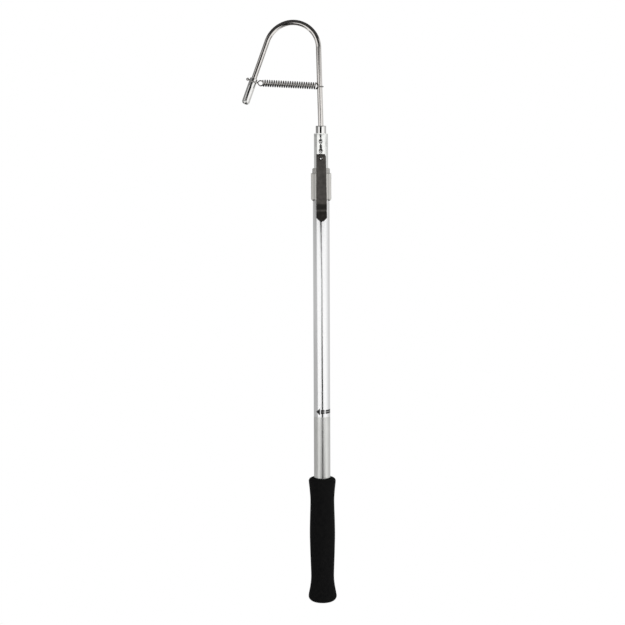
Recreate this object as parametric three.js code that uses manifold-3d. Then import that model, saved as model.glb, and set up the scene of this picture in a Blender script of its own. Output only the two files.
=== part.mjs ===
// A telescopic fishing gaff, pushed together: a round-bar hook whose point is covered by a
// sprung cap, an inner tube that slides in an outer tube and is locked by a twist, a belt clip
// and a foam grip. Z runs along the shaft towards the hook, the hook opens towards -X and the
// belt clip faces -Y. The origin is the middle of the grip's flat butt.
import * as THREE from 'three';
import { mergeVertices } from 'three/addons/utils/BufferGeometryUtils.js';
import Module from 'manifold-3d';

const wasm = await Module();
wasm.setup();

// Fits, in millimetres as every size here
const fitGap = 0.3; // left between pieces that touch, slide or are pressed together
const cutOver = 1; // how far a cutter runs past the face that it cuts

// Tubes
const outerTubeRadius = 9.5;
const outerTubeLength = 492.7;
const tubeWall = 1.2;
const mouthLip = 1.1; // rounding of the inner tube's open end

// Grip
const gripLength = 147.6;
const gripFloor = 6; // foam under the end of the tube
const buttFoam = 7.2; // foam on the tube at its thickest, in the flare at the butt
const buttCorner = 6;
const gripShoulder = 3.5;
// Along the grip as shares of its length, and out from the tube as shares of the butt's foam
const gripOutlineShares = [
  [0.077, 0.868], [0.11, 0.724], [0.143, 0.631], [0.176, 0.56], [0.209, 0.549],
  [0.242, 0.567], [0.339, 0.635], [0.403, 0.682], [0.472, 0.719], [0.545, 0.755],
  [0.635, 0.723], [0.765, 0.64], [0.821, 0.61], [0.862, 0.66], [0.894, 0.708],
  [0.927, 0.771], [0.951, 0.833],
];
const gripRimShare = 0.882; // foam at the top rim, as a share of the butt's foam

// Butt plug
const buttPlugHeight = 20;
const buttPlugWall = 2;

// Guide collar
const collarStand = 2.3; // the lobes' reach beyond the outer tube's socket
const collarLength = 37.1;
const collarLobes = 8;
const lobeRadius = 5.5;
const lobeFillet = 2.6; // at the lower end
const lobeTopFillet = 0.8;
const collarShoulderHeight = 5.8;
const collarShoulderWall = 1.7; // round the inner tube
const collarShoulderFillet = 1.4;
const collarGuideLength = 8.4; // the part that guides the inner tube

// Twist lock
const studRadius = 2.5;
const studLength = 52;
const stopNutHeight = 4;
const stopNutFlats = 8;
const stopWasherClearance = 1.1; // inside the outer tube's bore
const stopWasherHeight = 1.2;
const sleeveLength = 28;
const sleeveSlot = 2;
const wedgeHeight = 16;
const sleeveRim = 1.7; // the sleeve's wall outside the wedge's wide end
const wedgeAngle = 10; // degrees, half of the cone
const wedgeDrop = 1; // from the sleeve's top edge down to the wedge
const wedgeKeyHeight = 7;
const insertHeight = 4;
const insertFlats = 8;
const endPlugFlange = 3;
const endPlugLength = 22; // inside the inner tube

// Hook ferrule
const ferruleRadius = 5.9; // where it stands out of the tube
const ferruleStand = 8.4;
const ferruleBody = 20.7; // below the tube's mouth
const ferruleChamfer = 0.5;
const hookNutHeight = 3.2; // a thin nut
const hookNutFlats = 10;

// Hook: a round bar, bent in one plane
const barRadius = 3;
const barTail = 0.8; // threaded end below the nut
const leanRadius = 350;
const leanAngle = 1.45; // degrees that the shank leans towards the point
const shankLength = 87.3;
const crownRadius = 28.6;
const crownAngle = 103; // degrees turned from the tube's direction at the end of the crown
const throatRadius = 32;
const throatAngle = 159.8; // degrees turned when the straight leg begins
const legToCap = 44.1; // straight leg that shows above the cap
const pointLength = 21;
const pointTipRadius = 0.25;

// Point cap
const capRadius = 4.4;
const capLength = 30.7;
const capFloor = 3;
const capEndFillet = 3.4;
const capLip = 0.3;

// Spring
const wireRadius = 0.55;
const coilRadius = 2.9; // to the middle of the wire
const coilTurns = 22;
const neckSeat = 3.2; // from the cap's mouth to the middle of the wire's turns on it
const neckPitch = 1.8;
const strandReach = 1.9; // from the turns on the cap out to where the two strands cross
const halfWayShare = 0.55; // where a strand bends between the turns and the crossing
const halfWayRiseShare = 0.8; // how much of the turns' rise it still has there
const strandApart = 0.85; // from the crossing's middle to each strand
const eyeRadius = 2.6;
const eyeReach = 5.9; // from the crossing to the coil
const shankSeat = 44.6; // from the ferrule's top up to the wire round the shank
const coilClearance = 0.6; // between the turn round the shank and the coil's last turn

// Belt clip
const clipTopWidth = 10.8; // at the fold, widening evenly down to the bend
const clipWidth = 11.7; // from the bend down
const clipThickness = 1.2;
const beltGap = 2.3; // between the collar and the clip's leaf
const clipStand = 3; // from the collar, pushed in, up to the riveted leg
const clipDepth = 23.3; // from the tube's mouth down to the top of the fold
const clipLegLength = 9.5;
const clipSeamDrop = 9; // from the top of the fold down to where the leaf starts to flex
const clipBendDrop = 56.4; // from the top of the fold down to where the leaf turns in
const ridgeDrop = 7.7; // from that bend down to the ridge
const ridgeGap = 0.5; // from the collar's radius out to the ridge
const tipDrop = 12.2; // from the ridge down to the tip
const tipFlare = 4; // how far the tip stands out from the ridge
const gableHeight = 4.2;
const clipCorner = 1.6;
const clipBendRadius = 1.5;
const rivetRadius = 1.5;
const rivetHeadRadius = 2;
const rivetHeadHeight = 0.9;
const rivetTailRadius = 2.2;
const rivetTailHeight = 0.9;
const rivetDrop = 4.7; // from the top of the fold down to the rivet
const rivetOffset = -0.6; // along X
const accessHoleRadius = 1.95;

// Crimps that hold the ferrule in the inner tube, two in front and two behind
const crimpDepth = 0.7;
const crimpWidth = 6.2;
const crimpDrop = 15.1; // from the tube's mouth down to the middle of a pair
const crimpPitch = 10.8; // from one crimp of a pair to the other

// Faces round and along the shapes
const tubeSides = 48;
const gripSides = 40;
const smallSides = 28;
const barSides = 18;
const wireSides = 5;
const stepsInCoilTurn = 8;
const stepsInEndTurn = 24;
const cornerSteps = 4;
const bendStep = 7.5; // degrees of a bend in one step

// Worked out from the sizes
const outerBore = outerTubeRadius - tubeWall;
const innerTubeRadius = outerBore - fitGap;
const innerBore = innerTubeRadius - tubeWall;
const tubeBottom = gripFloor + fitGap;
const outerTubeTop = tubeBottom + outerTubeLength;
const collarRadius = outerTubeRadius + fitGap + collarStand;
const collarShoulderRadius = innerTubeRadius + fitGap + collarShoulderWall;
const collarTop = outerTubeTop + fitGap + collarGuideLength;
const collarBottom = collarTop - collarLength;
const buttPlugTop = tubeBottom + buttPlugHeight;
const stopNutBottom = buttPlugTop + fitGap;
const washerBottom = stopNutBottom + stopNutHeight + fitGap;
const sleeveBottom = washerBottom + stopWasherHeight + fitGap;
const sleeveTop = sleeveBottom + sleeveLength;
const flangeBottom = sleeveTop + fitGap;
const innerTubeBottom = flangeBottom + endPlugFlange + fitGap;
const stopWasherRadius = outerBore - stopWasherClearance;
const wedgeTopRadius = innerTubeRadius - sleeveRim;
const clipLegInner = innerTubeRadius + fitGap;
const clipLeafInner = collarRadius + beltGap;
const clipFoldInner = (clipLeafInner - clipLegInner - clipThickness) / 2;
const clipLegBottom = collarTop + clipStand;
const clipFoldHeight = clipLegBottom + clipLegLength;
const clipTop = clipFoldHeight + clipFoldInner + clipThickness;
const mouth = clipTop + clipDepth;
const ferruleBottom = mouth - ferruleBody;
const ferruleTop = mouth + ferruleStand;
const hookNutTop = ferruleBottom - fitGap;
const pressedRadius = innerBore - fitGap;
const boredForBar = barRadius + fitGap;
const boredForStud = studRadius + fitGap;
const rad = Math.PI / 180;

function v2(x, y) {
  return new THREE.Vector2(x, y);
}

// Points of an arc in a profile, from one angle to the other in degrees
function arc(x, y, radius, from, to, steps = cornerSteps) {
  const points = [];
  for (let i = 0; i <= steps; i += 1) {
    const angle = (from + ((to - from) * i) / steps) * rad;
    points.push(v2(x + radius * Math.cos(angle), y + radius * Math.sin(angle)));
  }
  return points;
}

// A closed solid from a geometry: shared corners joined, faces pointing out
function solidOf(geometry) {
  const bare = geometry.clone();
  bare.deleteAttribute('normal');
  bare.deleteAttribute('uv');
  const welded = mergeVertices(bare);
  const at = welded.getAttribute('position').array;
  const index = welded.index.array;
  const faces = [];
  let volume = 0;
  for (let i = 0; i < index.length; i += 3) {
    const [a, b, c] = [index[i], index[i + 1], index[i + 2]];
    if (a !== b && b !== c && c !== a) {
      faces.push(a, b, c);
      const [p, q, r] = [a, b, c].map((k) => new THREE.Vector3().fromArray(at, k * 3));
      volume += p.dot(q.cross(r));
    }
  }
  if (volume < 0) {
    faces.reverse();
  }
  return new wasm.Manifold(new wasm.Mesh({
    numProp: 3,
    vertProperties: Float32Array.from(at),
    triVerts: Uint32Array.from(faces),
  }));
}

function geometryOf(solid) {
  const mesh = solid.getMesh();
  const geometry = new THREE.BufferGeometry();
  geometry.setAttribute('position', new THREE.BufferAttribute(mesh.vertProperties, 3));
  geometry.setIndex(new THREE.BufferAttribute(mesh.triVerts, 1));
  geometry.computeVertexNormals();
  return geometry;
}

// A profile of radius and height, turned about Z
function turned(profile, sides = smallSides) {
  const geometry = new THREE.LatheGeometry(profile, sides);
  geometry.rotateX(Math.PI / 2);
  return solidOf(geometry);
}

function rod(radius, from, to, sides = smallSides) {
  return turned([v2(0, from), v2(radius, from), v2(radius, to), v2(0, to)], sides);
}

function ring(inner, outer, from, to, sides = smallSides) {
  const corners = [v2(inner, from), v2(outer, from), v2(outer, to), v2(inner, to)];
  return turned([...corners, v2(inner, from)], sides);
}

// A straight prism on a flat outline, along Z
function prism(shape, from, to) {
  const settings = { depth: to - from, bevelEnabled: false, curveSegments: cornerSteps };
  const geometry = new THREE.ExtrudeGeometry(shape, settings);
  geometry.translate(0, 0, from);
  return solidOf(geometry);
}

function box(width, depth, height, x, y, z) {
  const geometry = new THREE.BoxGeometry(width, depth, height);
  geometry.translate(x, y, z);
  return solidOf(geometry);
}

function hexBar(flats, from, to) {
  const corners = [];
  for (let i = 0; i < 6; i += 1) {
    const corner = flats / 2 / Math.cos(Math.PI / 6);
    corners.push(v2(corner, 0).rotateAround(v2(0, 0), (i * Math.PI) / 3));
  }
  return prism(new THREE.Shape(corners), from, to);
}

function hexNut(flats, bore, from, to) {
  return hexBar(flats, from, to).subtract(rod(bore, from - cutOver, to + cutOver));
}

// Moves a solid that was drawn along Z, with the matrix's axes and place
function placed(solid, xAxis, yAxis, zAxis, origin) {
  const matrix = new THREE.Matrix4().makeBasis(xAxis, yAxis, zAxis).setPosition(origin);
  return solid.transform(matrix.elements);
}

// Foam grip: one moulding with a blind bore for the outer tube
function makeGrip() {
  const flare = outerTubeRadius + buttFoam;
  const rim = outerTubeRadius + buttFoam * gripRimShare;
  const side = gripOutlineShares.map(([along, out]) => {
    return v2(outerTubeRadius + out * buttFoam, along * gripLength);
  });
  const curve = new THREE.SplineCurve([
    v2(flare, buttCorner), ...side, v2(rim, gripLength - gripShoulder),
  ]);
  const bore = outerTubeRadius + fitGap;
  return turned([
    v2(0, 0),
    ...arc(flare - buttCorner, buttCorner, buttCorner, -90, 0),
    ...curve.getPoints(side.length * 2).slice(1, -1),
    ...arc(rim - gripShoulder, gripLength - gripShoulder, gripShoulder, 0, 90),
    v2(bore, gripLength),
    v2(bore, gripFloor),
    v2(0, gripFloor),
  ], gripSides);
}

function makeOuterTube() {
  return ring(outerBore, outerTubeRadius, tubeBottom, outerTubeTop, tubeSides);
}

// A moulded plug, hollow from below, that closes the tube and stops the shaft
function makeButtPlug() {
  const radius = outerBore - fitGap;
  const hollow = rod(radius - buttPlugWall, tubeBottom - cutOver, buttPlugTop - buttPlugWall);
  return rod(radius, tubeBottom, buttPlugTop).subtract(hollow);
}

// Guide collar: lobes for the fingers, a plain shoulder and a stepped bore for both tubes
function makeGuideCollar() {
  const lobeTop = collarTop - collarShoulderHeight;
  const lobe = turned([
    v2(0, collarBottom),
    ...arc(lobeRadius - lobeFillet, collarBottom + lobeFillet, lobeFillet, -90, 0),
    ...arc(lobeRadius - lobeTopFillet, lobeTop - lobeTopFillet, lobeTopFillet, 0, 90),
    v2(0, lobeTop),
  ]);
  const place = collarRadius - lobeRadius;
  let collar = turned([
    v2(0, collarBottom + lobeFillet),
    v2(place, collarBottom + lobeFillet),
    v2(collarShoulderRadius, collarBottom + lobeFillet * 2),
    ...arc(
      collarShoulderRadius - collarShoulderFillet,
      collarTop - collarShoulderFillet,
      collarShoulderFillet,
      0,
      90,
    ),
    v2(0, collarTop),
  ], tubeSides);
  for (let i = 0; i < collarLobes; i += 1) {
    const turn = ((i + 0.5) * 360) / collarLobes;
    collar = collar.add(lobe.translate([place, 0, 0]).rotate([0, 0, turn]));
  }
  const tubeSeat = outerTubeTop + fitGap;
  const socket = outerTubeRadius + fitGap;
  const guide = innerTubeRadius + fitGap;
  return collar
    .subtract(rod(socket, collarBottom - cutOver, tubeSeat, tubeSides))
    .subtract(rod(guide, tubeSeat - cutOver, collarTop + cutOver, tubeSides));
}

// The crimps' dents as balls grown by a thickness
function crimpBalls(grown) {
  const ball = (crimpWidth ** 2 / 4 + crimpDepth ** 2) / (2 * crimpDepth);
  const geometry = new THREE.SphereGeometry(ball + grown, smallSides, smallSides / 2);
  const dent = solidOf(geometry);
  const out = innerTubeRadius + ball - crimpDepth;
  const middle = mouth - crimpDrop;
  const dents = [];
  for (const y of [-out, out]) {
    for (const z of [middle - crimpPitch / 2, middle + crimpPitch / 2]) {
      dents.push(dent.translate([0, y, z]));
    }
  }
  return dents;
}

function makeInnerTube() {
  const lipInner = innerTubeRadius - mouthLip;
  const tube = turned([
    v2(innerBore, innerTubeBottom),
    v2(innerTubeRadius, innerTubeBottom),
    ...arc(lipInner, mouth - mouthLip, mouthLip, 0, 90),
    v2(innerBore, mouth),
    v2(innerBore, innerTubeBottom),
  ], tubeSides);
  const zoneBottom = mouth - crimpDrop - crimpPitch / 2 - crimpWidth;
  const zone = rod(innerTubeRadius - fitGap, zoneBottom, mouth - mouthLip, tubeSides);
  const rivetHole = rivetAlongY(rod(rivetRadius + fitGap, 0, innerTubeRadius + cutOver));
  let crimped = tube;
  for (const wall of crimpBalls(tubeWall)) {
    crimped = crimped.add(wall.intersect(zone));
  }
  for (const dent of crimpBalls(0)) {
    crimped = crimped.subtract(dent);
  }
  return crimped.subtract(rivetHole);
}

// Plug in the inner tube's lower end that carries the lock's stud
function makeEndPlug() {
  const top = innerTubeBottom + endPlugLength;
  const hole = rod(boredForStud, flangeBottom - cutOver, stopNutBottom + studLength + fitGap);
  return rod(innerTubeRadius, flangeBottom, flangeBottom + endPlugFlange, tubeSides)
    .add(rod(pressedRadius, flangeBottom, top))
    .subtract(hole);
}

function makeLockStud() {
  return rod(studRadius, stopNutBottom, stopNutBottom + studLength);
}

function makeStopNut() {
  return hexNut(stopNutFlats, boredForStud, stopNutBottom, stopNutBottom + stopNutHeight);
}

function makeStopWasher() {
  return ring(boredForStud, stopWasherRadius, washerBottom, washerBottom + stopWasherHeight);
}

// The cone's radius at a height, for the wedge and, grown by the gap, for the sleeve's bore
function coneRadius(height, grown) {
  const wedgeTop = sleeveTop - wedgeDrop;
  return wedgeTopRadius + grown + (height - wedgeTop) * Math.tan(wedgeAngle * rad);
}

// Split sleeve that the wedge spreads against the outer tube's bore
function makeExpanderSleeve() {
  const throat = boredForStud;
  const throatTop = sleeveTop - wedgeDrop
    - (wedgeTopRadius + fitGap - throat) / Math.tan(wedgeAngle * rad);
  const sleeve = turned([
    v2(throat, sleeveBottom),
    v2(innerTubeRadius, sleeveBottom),
    v2(innerTubeRadius, sleeveTop),
    v2(coneRadius(sleeveTop, fitGap), sleeveTop),
    v2(throat, throatTop),
    v2(throat, sleeveBottom),
  ], tubeSides);
  const slotTall = sleeveLength + 2 * cutOver;
  const slotDeep = innerTubeRadius + cutOver;
  const middle = (sleeveBottom + sleeveTop) / 2;
  return sleeve.subtract(box(sleeveSlot, slotDeep, slotTall, 0, slotDeep / 2, middle));
}

// Wedge: a cone with a key in the sleeve's slot and a pocket for its threaded insert
function makeWedgeNut() {
  const top = sleeveTop - wedgeDrop;
  const bottom = top - wedgeHeight;
  const cone = turned([
    v2(0, bottom), v2(coneRadius(bottom, 0), bottom), v2(wedgeTopRadius, top), v2(0, top),
  ], tubeSides);
  const keyReach = innerTubeRadius - fitGap;
  const key = box(
    sleeveSlot - 2 * fitGap, keyReach, wedgeKeyHeight, 0, keyReach / 2, top - wedgeKeyHeight / 2,
  );
  const pocketBottom = top - insertHeight - fitGap;
  const pocket = hexBar(insertFlats + 2 * fitGap, pocketBottom, top + cutOver);
  const through = rod(boredForStud, bottom - cutOver, top + cutOver);
  return cone.add(key).subtract(pocket.add(through));
}

function makeWedgeInsert() {
  const top = sleeveTop - wedgeDrop;
  return hexNut(insertFlats, boredForStud, top - insertHeight, top);
}

// Stepped ferrule, crimped in the inner tube's mouth
function makeHookFerrule() {
  const chamferRadius = ferruleRadius - ferruleChamfer;
  let ferrule = turned([
    v2(boredForBar, ferruleBottom),
    v2(pressedRadius, ferruleBottom),
    v2(pressedRadius, mouth - fitGap),
    v2(ferruleRadius, mouth - fitGap),
    ...arc(chamferRadius, ferruleTop - ferruleChamfer, ferruleChamfer, 0, 90, 2),
    v2(boredForBar, ferruleTop),
    v2(boredForBar, ferruleBottom),
  ], tubeSides);
  for (const dent of crimpBalls(tubeWall + fitGap)) {
    ferrule = ferrule.subtract(dent);
  }
  return ferrule;
}

// The bar's middle line: straight stretches and bends that follow one another
const barStretches = [
  { length: mouth - (hookNutTop - hookNutHeight - barTail) },
  { radius: leanRadius, turn: leanAngle },
  { length: shankLength },
  { radius: crownRadius, turn: crownAngle - leanAngle },
  { radius: throatRadius, turn: throatAngle - crownAngle },
  { length: legToCap + capLength - capFloor - fitGap },
];

// Every station has its place and the angle that the bar has turned there, in degrees
function barStations() {
  const start = new THREE.Vector3(0, 0, hookNutTop - hookNutHeight - barTail);
  const stations = [{ at: start, angle: 0 }];
  for (const stretch of barStretches) {
    const { at, angle } = stations[stations.length - 1];
    if (stretch.length) {
      const end = at.clone().addScaledVector(barDirection(angle), stretch.length);
      stations.push({ at: end, angle });
    } else {
      const centre = at.clone().addScaledVector(barDirection(angle + 90), stretch.radius);
      const steps = Math.max(2, Math.round(stretch.turn / bendStep));
      for (let i = 1; i <= steps; i += 1) {
        const turned = angle + (stretch.turn * i) / steps;
        const end = centre.clone().addScaledVector(barDirection(turned - 90), stretch.radius);
        stations.push({ at: end, angle: turned });
      }
    }
  }
  return stations;
}

// The bar's direction once it has turned by an angle from +Z towards -X
function barDirection(angle) {
  return new THREE.Vector3(-Math.sin(angle * rad), 0, Math.cos(angle * rad));
}

// A path through the stations, one step of the sweep to each
class BarPath extends THREE.Curve {
  constructor(stations) {
    super();
    this.stations = stations;
  }

  between(t) {
    const place = Math.min(Math.max(t, 0), 1) * (this.stations.length - 1);
    const low = Math.min(Math.floor(place), this.stations.length - 2);
    return [this.stations[low], this.stations[low + 1], place - low];
  }

  getPoint(t, target = new THREE.Vector3()) {
    const [low, high, share] = this.between(t);
    return target.lerpVectors(low.at, high.at, share);
  }

  getTangent(t, target = new THREE.Vector3()) {
    const [low, high, share] = this.between(t);
    return target.copy(barDirection(low.angle + (high.angle - low.angle) * share));
  }

  getUtoTmapping(u) {
    return u;
  }
}

const stations = barStations();
const barEnd = stations[stations.length - 1].at;
const legDirection = barDirection(throatAngle);
const acrossLeg = barDirection(throatAngle + 90); // from the leg towards the shank
const front = new THREE.Vector3(0, -1, 0);
const capMouth = barEnd.clone().addScaledVector(
  legDirection, -(capLength - capFloor - fitGap),
);

// Hook: the bar swept along its bends, ground to a point at the end of the leg
function makeHook() {
  const section = new THREE.Shape(arc(0, 0, barRadius, 0, 360, barSides).slice(0, -1));
  const bar = solidOf(new THREE.ExtrudeGeometry(section, {
    steps: stations.length - 1,
    extrudePath: new BarPath(stations),
    bevelEnabled: false,
  }));
  const outside = barRadius * 2;
  const grinder = turned([
    v2(barRadius, -pointLength),
    v2(outside, -pointLength),
    v2(outside, cutOver),
    v2(pointTipRadius, cutOver),
    v2(pointTipRadius, 0),
    v2(barRadius, -pointLength),
  ]);
  return bar.subtract(placed(grinder, acrossLeg, front, legDirection, barEnd));
}

function makeHookNut() {
  return hexNut(hookNutFlats, boredForBar, hookNutTop - hookNutHeight, hookNutTop);
}

// Point cap: a drawn steel thimble, open at its mouth
function makePointCap() {
  const bore = barRadius + fitGap;
  const cap = turned([
    v2(0, capLength),
    ...arc(capRadius - capEndFillet, capLength - capEndFillet, capEndFillet, 90, 0, 6),
    ...arc(capRadius - capLip, capLip, capLip, 0, -90, 2),
    v2(bore, 0),
    v2(bore, capLength - capFloor),
    v2(0, capLength - capFloor),
  ], smallSides);
  return placed(cap, acrossLeg, front, legDirection, capMouth);
}

// The spring's wire from its free end by the cap to its free end by the shank
function wirePoints() {
  const neck = capMouth.clone().addScaledVector(legDirection, neckSeat);
  const neckRadius = capRadius + fitGap + wireRadius;
  const crossing = neck.clone().addScaledVector(acrossLeg, neckRadius + strandReach);
  const shankWay = barDirection(leanAngle);
  const shankFoot = stations.find((station) => station.angle === leanAngle).at;
  const foot = shankSeat - (shankFoot.z - ferruleTop);
  const shank = shankFoot.clone().addScaledVector(shankWay, foot);
  const along = shank.clone().sub(crossing).normalize();
  const up = along.clone().cross(front).normalize();
  const reach = shank.distanceTo(crossing);
  const point = (from, s, n, f) => from.clone()
    .addScaledVector(along, s).addScaledVector(up, n).addScaledVector(front, f);
  const points = [];
  const wire = 2 * wireRadius;

  // The free end and the lower half of the eye, behind
  const eye = eyeReach - eyeRadius - wireRadius;
  const eyePoint = (angle, f) => point(
    crossing, eye + eyeRadius * Math.cos(angle * rad), eyeRadius * Math.sin(angle * rad), f,
  );
  const eyeStart = -75;
  const tail = eyePoint(eyeStart, -strandApart);
  points.push(tail.clone().addScaledVector(along, wire));
  points.push(tail);
  for (let angle = eyeStart - 15; angle >= -150; angle -= 15) {
    points.push(eyePoint(angle, -strandApart));
  }
  points.push(crossing.clone().addScaledVector(front, -strandApart));

  // Two turns round the cap's neck
  const leave = 38;
  const neckPoint = (angle, radius, h) => neck.clone()
    .addScaledVector(acrossLeg, radius * Math.cos(angle * rad))
    .addScaledVector(front, radius * Math.sin(angle * rad))
    .addScaledVector(legDirection, h);
  const sweep = 720 - 2 * leave;
  const turnSteps = Math.round((sweep / 360) * stepsInEndTurn);
  const halfWay = neckRadius + strandReach * halfWayShare;
  const rise = (neckPitch * sweep) / 720;
  points.push(neckPoint(-leave / 2, halfWay, -rise * halfWayRiseShare));
  for (let i = 0; i <= turnSteps; i += 1) {
    const share = i / turnSteps;
    points.push(neckPoint(-leave - sweep * share, neckRadius, rise * (2 * share - 1)));
  }
  points.push(neckPoint(leave / 2, halfWay, rise * halfWayRiseShare));
  points.push(crossing.clone().addScaledVector(front, strandApart));

  // The upper half of the eye, in front
  for (let angle = 150; angle >= 90; angle -= 15) {
    points.push(eyePoint(angle, strandApart));
  }

  // The coil
  const coilFrom = eyeReach;
  const shankRadius = barRadius + fitGap + wireRadius;
  const coilTo = reach - shankRadius - 2 * wireRadius - coilClearance;
  const firstAngle = 45;
  const lastAngle = 360 * coilTurns + 90;
  const coilSteps = Math.round(((lastAngle - firstAngle) / 360) * stepsInCoilTurn);
  for (let i = 0; i <= coilSteps; i += 1) {
    const share = i / coilSteps;
    const angle = (firstAngle + (lastAngle - firstAngle) * share) * rad;
    const s = coilFrom + (coilTo - coilFrom) * share;
    points.push(point(crossing, s, coilRadius * Math.cos(angle), coilRadius * Math.sin(angle)));
  }

  // One turn round the shank, square to it
  const side = shankWay.clone().cross(front).normalize();
  const shankPoint = (angle, h) => shank.clone()
    .addScaledVector(side, shankRadius * Math.cos(angle * rad))
    .addScaledVector(front, shankRadius * Math.sin(angle * rad))
    .addScaledVector(shankWay, h);
  const loopFrom = 125;
  const loopSweep = 290;
  const loopSteps = Math.round((loopSweep / 360) * stepsInEndTurn);
  for (let i = 0; i <= loopSteps; i += 1) {
    points.push(shankPoint(loopFrom - (loopSweep * i) / loopSteps, -wireRadius));
  }
  const last = points[points.length - 1];
  const before = points[points.length - 2];
  points.push(last.clone().addScaledVector(last.clone().sub(before).normalize(), wire));
  return points;
}

// A tube round a line of points, its rings turned as little as they can be, closed at its ends
function wireTube(points) {
  const positions = [];
  const faces = [];
  let turn = front.clone();
  points.forEach((at, i) => {
    const ahead = points[Math.min(i + 1, points.length - 1)];
    const behind = points[Math.max(i - 1, 0)];
    const way = ahead.clone().sub(behind).normalize();
    turn = turn.clone().addScaledVector(way, -turn.dot(way)).normalize();
    const other = way.clone().cross(turn);
    for (let k = 0; k < wireSides; k += 1) {
      const angle = (k / wireSides) * 2 * Math.PI;
      const corner = at.clone()
        .addScaledVector(turn, wireRadius * Math.cos(angle))
        .addScaledVector(other, wireRadius * Math.sin(angle));
      positions.push(...corner.toArray());
    }
  });
  for (let i = 0; i + 1 < points.length; i += 1) {
    for (let k = 0; k < wireSides; k += 1) {
      const a = i * wireSides + k;
      const b = i * wireSides + ((k + 1) % wireSides);
      faces.push(a, b, b + wireSides, a, b + wireSides, a + wireSides);
    }
  }
  const end = (points.length - 1) * wireSides;
  for (let k = 1; k + 1 < wireSides; k += 1) {
    faces.push(0, k + 1, k, end, end + k, end + k + 1);
  }
  const geometry = new THREE.BufferGeometry();
  geometry.setAttribute('position', new THREE.Float32BufferAttribute(positions, 3));
  geometry.setIndex(faces);
  return geometry;
}

// The least gap between stretches of the wire that don't follow one another
function leastGap(points) {
  const fine = [];
  const partsOfStep = 4;
  for (let i = 0; i + 1 < points.length; i += 1) {
    for (let k = 0; k < partsOfStep; k += 1) {
      fine.push(points[i].clone().lerp(points[i + 1], k / partsOfStep));
    }
  }
  const along = [0];
  for (let i = 1; i < fine.length; i += 1) {
    along.push(along[i - 1] + fine[i].distanceTo(fine[i - 1]));
  }
  const apart = 8 * wireRadius;
  let least = Infinity;
  for (let i = 0; i < fine.length; i += 1) {
    for (let j = i + 1; j < fine.length; j += 1) {
      if (along[j] - along[i] > apart) {
        least = Math.min(least, fine[i].distanceTo(fine[j]));
      }
    }
  }
  return least - 2 * wireRadius;
}

function makeSpring() {
  const points = wirePoints();
  console.log(`spring: least gap to itself ${leastGap(points).toFixed(2)} mm`);
  return solidOf(wireTube(points));
}

// Belt clip: a strip of spring steel, folded over and riveted to the inner tube
const foldRadius = clipFoldInner + clipThickness / 2;
const legMiddle = clipLegInner + clipThickness / 2;
const leafMiddle = clipLeafInner + clipThickness / 2;
const ridgeMiddle = collarRadius + ridgeGap + clipThickness / 2;
const seamZ = clipTop - clipSeamDrop;
const bendZ = clipTop - clipBendDrop;
const ridgeZ = bendZ - ridgeDrop;
const tipZ = ridgeZ - tipDrop;
const rivetZ = clipTop - rivetDrop;

// Half of the strip's width at a height
function clipHalf(z) {
  const share = Math.min((clipTop - z) / clipBendDrop, 1);
  return (clipTopWidth + (clipWidth - clipTopWidth) * share) / 2;
}

// Turns a solid drawn out along +Z so that it points to -Y at the rivet
function rivetAlongY(solid) {
  const xAxis = new THREE.Vector3(1, 0, 0);
  const yAxis = new THREE.Vector3(0, 0, 1);
  return placed(solid, xAxis, yAxis, front, new THREE.Vector3(rivetOffset, 0, rivetZ));
}

// A strip seen from its side: its middle line given thickness
function strip(line) {
  const half = clipThickness / 2;
  const left = [];
  const right = [];
  line.forEach((at, i) => {
    const ahead = line[Math.min(i + 1, line.length - 1)].clone().sub(at).normalize();
    const behind = at.clone().sub(line[Math.max(i - 1, 0)]).normalize();
    const way = ahead.add(behind).normalize();
    const across = v2(-way.y, way.x).multiplyScalar(half);
    left.push(at.clone().add(across));
    right.unshift(at.clone().sub(across));
  });
  const shape = new THREE.Shape([...left, ...right]);
  const over = clipWidth / 2 + cutOver;
  const outward = front;
  const upward = new THREE.Vector3(0, 0, 1);
  const sideways = outward.clone().cross(upward);
  return placed(prism(shape, -over, over), outward, upward, sideways, new THREE.Vector3());
}

// An outline seen from the front, cut right through along Y
function frontCutter(shape) {
  const sideways = new THREE.Vector3(1, 0, 0);
  const upward = new THREE.Vector3(0, 0, 1);
  const reach = clipLeafInner + clipThickness + tipFlare + cutOver;
  return placed(prism(shape, 0, reach), sideways, upward, front, new THREE.Vector3());
}

// A corner of the strip's middle line, bent round a small radius
function bent(before, corner, after, radius) {
  const back = before.clone().sub(corner).normalize().multiplyScalar(radius);
  const on = after.clone().sub(corner).normalize().multiplyScalar(radius);
  const curve = new THREE.QuadraticBezierCurve(
    corner.clone().add(back), corner, corner.clone().add(on),
  );
  return curve.getPoints(cornerSteps);
}

// The part that is riveted down, its fold and the top of the leaf with the access hole
function makeClipBase() {
  const base = strip([
    v2(legMiddle, clipLegBottom),
    ...arc((legMiddle + leafMiddle) / 2, clipFoldHeight, foldRadius, 180, 0, 10),
    v2(leafMiddle, seamZ),
  ]);
  const low = clipHalf(clipLegBottom);
  const high = clipHalf(clipTop);
  const outline = new THREE.Shape([
    ...arc(clipCorner - low, clipLegBottom + clipCorner, clipCorner, 180, 270),
    ...arc(low - clipCorner, clipLegBottom + clipCorner, clipCorner, 270, 360),
    v2(high, clipTop),
    v2(high, clipTop + cutOver),
    v2(-high, clipTop + cutOver),
    v2(-high, clipTop),
  ]);
  const rivetHole = rivetAlongY(rod(rivetRadius + fitGap, 0, legMiddle + foldRadius));
  const accessHole = rivetAlongY(
    rod(accessHoleRadius, legMiddle + foldRadius, leafMiddle + clipThickness),
  );
  return base.intersect(frontCutter(outline)).subtract(rivetHole).subtract(accessHole);
}

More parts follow.
